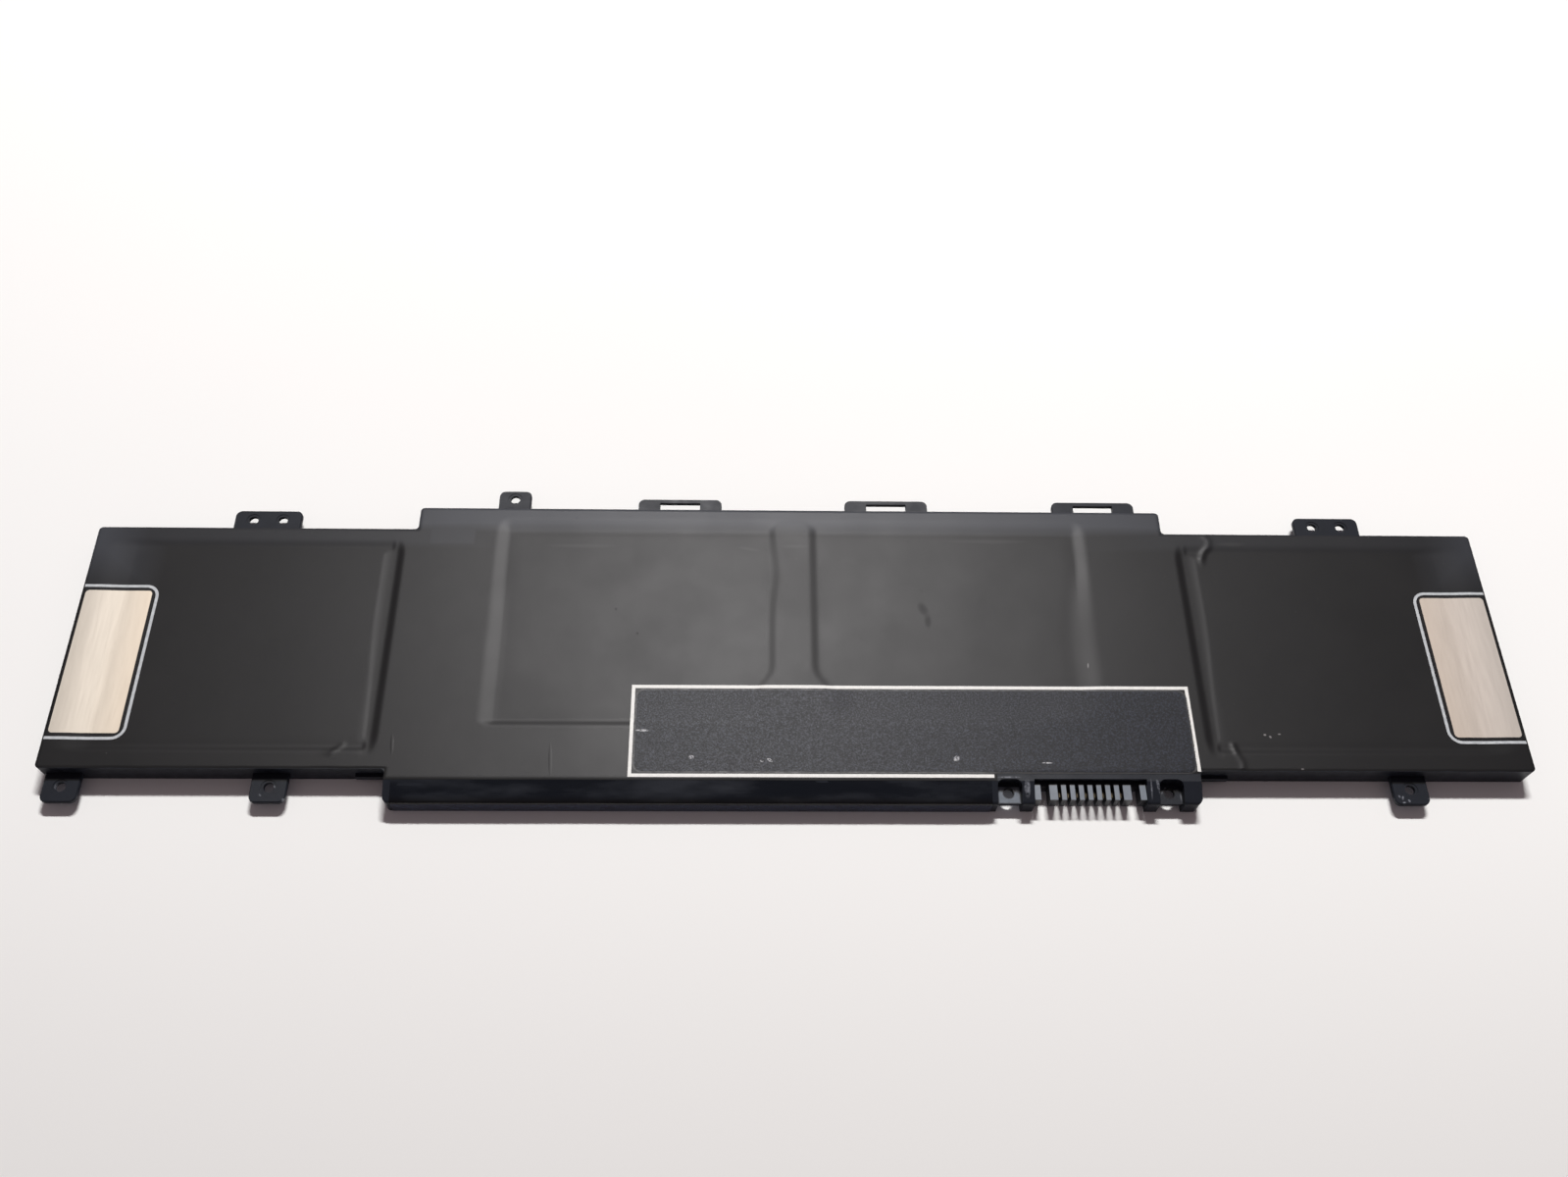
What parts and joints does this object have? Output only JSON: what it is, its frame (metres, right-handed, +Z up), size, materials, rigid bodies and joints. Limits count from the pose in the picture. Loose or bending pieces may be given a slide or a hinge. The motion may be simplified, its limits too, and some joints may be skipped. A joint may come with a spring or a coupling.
{
  "type": "laptop battery",
  "caption": "Flat internal laptop battery: wide black pack with a deeper middle, screw and hook tabs along both long edges, and a blade connector at the near right.",
  "frame": {"origin": "middle of the two wings on the underside, where the pack rests", "axes": "+X along the pack towards the connector's end, +Y from the connector's side to the far side, +Z up through the label side"},
  "size_m": [0.338, 0.084, 0.0063],
  "materials": {
    "frame_plastic": "satin moulded",
    "black_film": "matte film",
    "gloss_tape": "glossy film",
    "grained_label": "grained film",
    "satin_label": "satin film",
    "circuit_board": "solder mask",
    "connector_plastic": "moulded",
    "chip_plastic": "moulded",
    "chip_ceramic": "fired",
    "pouch_foil": "satin laminate",
    "clear_tape": "adhesive tape",
    "aluminium_tab": "bare",
    "nickel": "bare",
    "contact_brass": "plated"
  },
  "bodies": {
    "root": {"bottom_film": "black_film", "capacitor_1": "chip_ceramic", "capacitor_2": "chip_ceramic", "capacitor_3": "chip_ceramic", "capacitor_4": "chip_ceramic", "charge_transistor": "chip_plastic", "connector_contact_1": "contact_brass", "connector_contact_2": "contact_brass", "connector_contact_3": "contact_brass", "connector_contact_4": "contact_brass", "connector_contact_5": "contact_brass", "connector_contact_6": "contact_brass", "connector_contact_7": "contact_brass", "connector_contact_8": "contact_brass", "connector_housing": "connector_plastic", "discharge_transistor": "chip_plastic", "frame": "frame_plastic", "gauge_chip": "chip_plastic", "left_end_label": "satin_label", "left_middle_cell": "pouch_foil", "left_middle_cell_tape": "clear_tape", "left_middle_negative_tab": "nickel", "left_middle_positive_tab": "aluminium_tab", "left_wing_cell": "pouch_foil", "left_wing_cell_tape": "clear_tape", "left_wing_middle_strap": "nickel", "left_wing_negative_strap": "nickel", "left_wing_negative_tab": "nickel", "left_wing_positive_tab": "aluminium_tab", "middle_negative_strap": "nickel", "middle_positive_strap": "nickel", "middle_shared_strap": "nickel", "nose_tape": "gloss_tape", "protection_board": "circuit_board", "rating_label": "grained_label", "right_end_label": "satin_label", "right_middle_cell": "pouch_foil", "right_middle_cell_tape": "clear_tape", "right_middle_negative_tab": "nickel", "right_middle_positive_tab": "aluminium_tab", "right_wing_cell": "pouch_foil", "right_wing_cell_tape": "clear_tape", "right_wing_middle_strap": "nickel", "right_wing_negative_tab": "nickel", "right_wing_positive_strap": "nickel", "right_wing_positive_tab": "aluminium_tab", "safety_fuse": "chip_plastic", "sense_resistor": "chip_plastic", "thermistor": "chip_plastic", "top_film": "black_film"}
  },
  "joints": []
}
